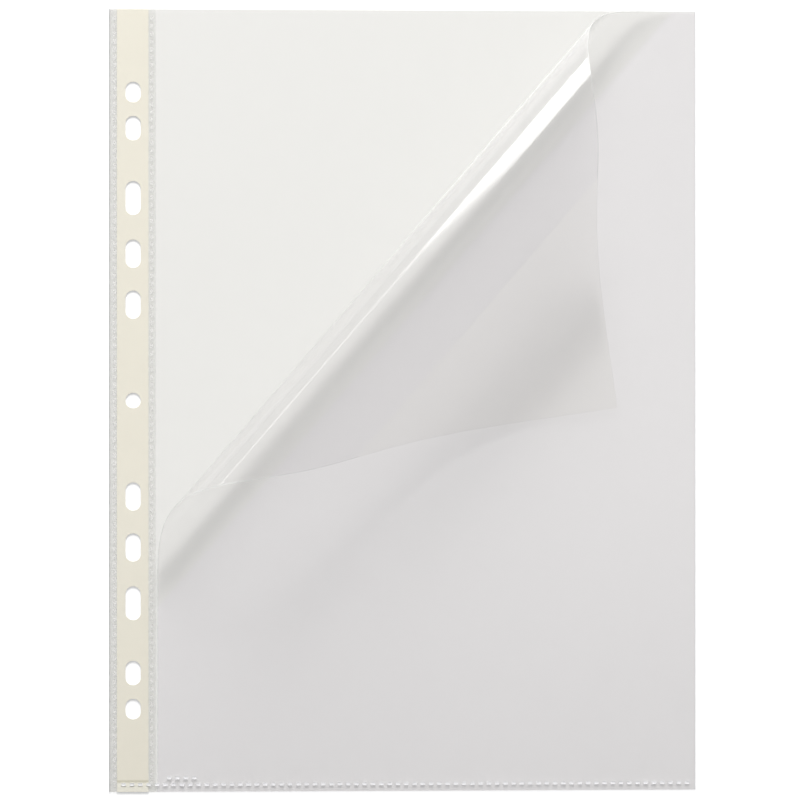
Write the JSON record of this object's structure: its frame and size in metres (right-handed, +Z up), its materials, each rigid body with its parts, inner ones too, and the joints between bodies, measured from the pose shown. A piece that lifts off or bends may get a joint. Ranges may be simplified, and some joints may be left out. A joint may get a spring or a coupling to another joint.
{
  "type": "sheet protector",
  "caption": "Clear A4 punched pocket lying flat, stiff cream filing strip at one side, its front ply open at top and side with one corner rolled back.",
  "frame": {"origin": "centre of the pocket's outline, on the surface it lies on", "axes": "+X across the page away from the strip, +Y to the page's top edge, +Z up out of the back ply"},
  "size_m": [0.23, 0.306, 0.0322],
  "materials": {
    "clear_film": "clear glossy soft plastic film",
    "strip": "cream strip, satin, seen through clear film",
    "weld": "fused film, slightly milky"
  },
  "bodies": {
    "pocket": {"back_film": "clear_film", "left_fold": "clear_film", "right_fold": "clear_film", "strip_cover": "clear_film", "filing_strip": "strip", "front_film": "clear_film", "outer_weld": "weld", "inner_weld": "weld", "bottom_weld": "weld", "roll_foot": "clear_film"},
    "bend_1": {"roll_1": "clear_film"},
    "bend_2": {"roll_2": "clear_film"},
    "bend_3": {"roll_3": "clear_film"},
    "bend_4": {"roll_4": "clear_film"},
    "flap": {"roll_crest": "clear_film", "turned_flap": "clear_film", "flap_landing": "clear_film"},
    "corner": {"corner_landing": "clear_film", "turned_corner": "clear_film"}
  },
  "joints": [
    {"name": "roll_bend_1", "type": "hinge", "parent": "pocket", "child": "bend_1", "pos_m": [0.00643, 0.05375, 0.00138], "axis": [-0.6535, -0.757, 0], "range_deg": [0, 43]},
    {"name": "roll_bend_2", "type": "hinge", "parent": "bend_1", "child": "bend_2", "pos_m": [-0.00074, 0.05993, 0.01014], "axis": [-0.6535, -0.757, 0], "range_deg": [0, 43]},
    {"name": "roll_bend_3", "type": "hinge", "parent": "bend_2", "child": "bend_3", "pos_m": [-0.00107, 0.06022, 0.02159], "axis": [-0.6535, -0.757, 0], "range_deg": [0, 43]},
    {"name": "roll_bend_4", "type": "hinge", "parent": "bend_3", "child": "bend_4", "pos_m": [0.00519, 0.05482, 0.03071], "axis": [-0.6535, -0.757, 0], "range_deg": [0, 43]},
    {"name": "roll_bend_5", "type": "hinge", "parent": "bend_4", "child": "flap", "pos_m": [0.01789, 0.04386, 0.03137], "axis": [-0.6535, -0.757, 0], "range_deg": [0, 43]},
    {"name": "corner_bend", "type": "hinge", "parent": "flap", "child": "corner", "pos_m": [0.04846, 0.01746, 0.0035], "axis": [-0.6535, -0.757, 0], "range_deg": [-38.7, 0]}
  ],
  "couplings": [
    {"joint": "corner_bend", "follows": "roll_bend_5", "ratio": -0.89977}
  ]
}
